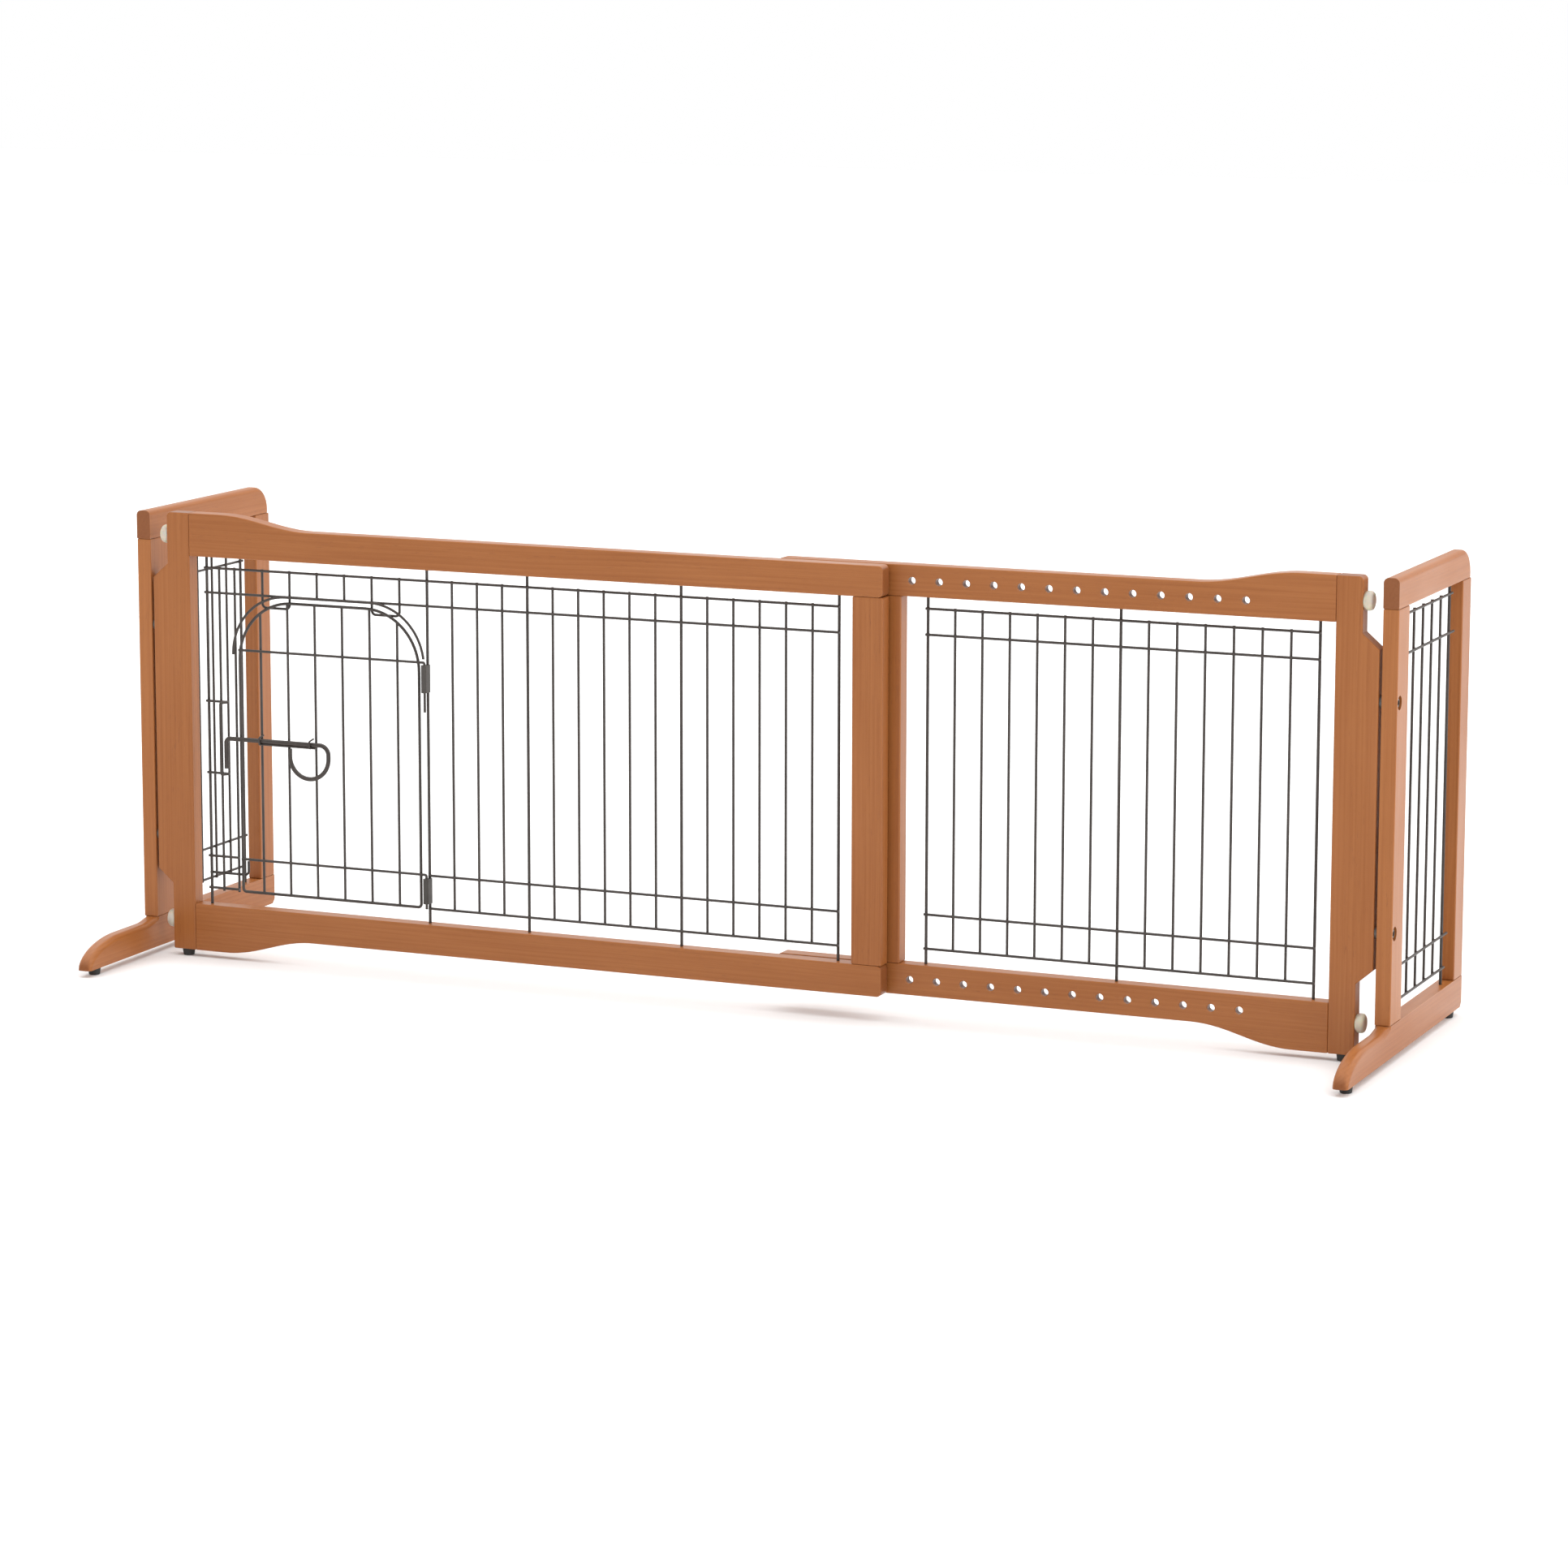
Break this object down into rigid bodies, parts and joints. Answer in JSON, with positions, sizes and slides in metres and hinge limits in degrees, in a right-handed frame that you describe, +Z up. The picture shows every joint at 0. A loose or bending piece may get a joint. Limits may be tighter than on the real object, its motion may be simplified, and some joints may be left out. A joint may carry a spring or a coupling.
{
  "type": "safety baby gate",
  "caption": "Free-standing wooden gate with wire grilles, a sliding width, side wings that stand it up and a small latched wire pet door.",
  "frame": {"origin": "on the floor, under the middle of the gate's overall box", "axes": "+X along the gate towards the drilled sliding panel, -Y towards the gate's front, +Z up"},
  "size_m": [1.472, 0.448, 0.511],
  "materials": {
    "varnished_wood": "satin orange-brown varnish on straight-grained hardwood",
    "pale_wood": "plain beech",
    "coated_wire": "dark brown powder coat on steel wire",
    "coated_strip": "dark brown powder coat on folded steel strip",
    "dark_steel": "blackened steel",
    "grey_plastic": "matt",
    "pale_rubber": "soft translucent grey-cream rubber",
    "black_rubber": "matt black rubber",
    "brown_plastic": "satin moulded plastic in the wood's colour"
  },
  "bodies": {
    "left_section": {"left_top_rail": "varnished_wood", "left_bottom_rail": "varnished_wood", "left_inner_post": "varnished_wood", "left_panel_dowels": "pale_wood", "left_panel_grille": "coated_wire", "left_outer_post": "varnished_wood", "left_wing_top_rail": "varnished_wood", "left_wing_foot_rail": "varnished_wood", "left_wing_front_post": "varnished_wood", "left_wing_back_post": "varnished_wood", "left_wing_grille": "coated_wire", "left_wing_dowels": "pale_wood", "left_wing_screws": "dark_steel", "left_wing_inserts": "dark_steel", "left_wing_spacers": "grey_plastic", "left_bumpers": "pale_rubber", "left_rubber_feet": "black_rubber", "left_panel_top_rows": "coated_wire", "doorway_side_grille": "coated_wire", "doorway_arch": "coated_wire", "upper_hinge_sleeve": "coated_strip", "lower_hinge_sleeve": "coated_strip", "latch_keeper": "coated_wire"},
    "right_section": {"right_top_rail": "varnished_wood", "right_bottom_rail": "varnished_wood", "right_inner_post": "varnished_wood", "right_panel_dowels": "pale_wood", "right_panel_grille": "coated_wire", "right_outer_post": "varnished_wood", "right_wing_top_rail": "varnished_wood", "right_wing_foot_rail": "varnished_wood", "right_wing_front_post": "varnished_wood", "right_wing_back_post": "varnished_wood", "right_wing_grille": "coated_wire", "right_wing_dowels": "pale_wood", "right_wing_screws": "dark_steel", "right_wing_inserts": "dark_steel", "right_wing_spacers": "grey_plastic", "right_bumpers": "pale_rubber", "right_rubber_feet": "black_rubber"},
    "pet_door": {"pet_door_frame": "coated_wire", "pet_door_uprights": "coated_wire", "pet_door_crossbars": "coated_wire", "latch_guide": "coated_wire"},
    "latch": {"latch_bolt": "coated_wire"},
    "top_peg_1": {"top_peg_1": "brown_plastic"},
    "top_peg_2": {"top_peg_2": "brown_plastic"},
    "bottom_peg_1": {"bottom_peg_1": "brown_plastic"},
    "bottom_peg_2": {"bottom_peg_2": "brown_plastic"}
  },
  "joints": [
    {"name": "width_slide", "type": "slide", "parent": "left_section", "child": "right_section", "axis": [1, 0, 0], "range_m": [-0.434, 0.031]},
    {"name": "pet_door_hinge", "type": "hinge", "parent": "left_section", "child": "pet_door", "pos_m": [-0.3739, -0.06965, 0.2], "axis": [0, 0, 1], "range_deg": [0, 160]},
    {"name": "latch_slide", "type": "slide", "parent": "pet_door", "child": "latch", "axis": [1, 0, 0], "range_m": [-0.0073, 0.024]},
    {"name": "top_peg_1_push", "type": "slide", "parent": "right_section", "child": "top_peg_1", "axis": [0, -1, 0], "range_m": [0, 0.0155]},
    {"name": "top_peg_2_push", "type": "slide", "parent": "right_section", "child": "top_peg_2", "axis": [0, -1, 0], "range_m": [0, 0.0155]},
    {"name": "bottom_peg_1_push", "type": "slide", "parent": "right_section", "child": "bottom_peg_1", "axis": [0, -1, 0], "range_m": [0, 0.0155]},
    {"name": "bottom_peg_2_push", "type": "slide", "parent": "right_section", "child": "bottom_peg_2", "axis": [0, -1, 0], "range_m": [0, 0.0155]}
  ]
}
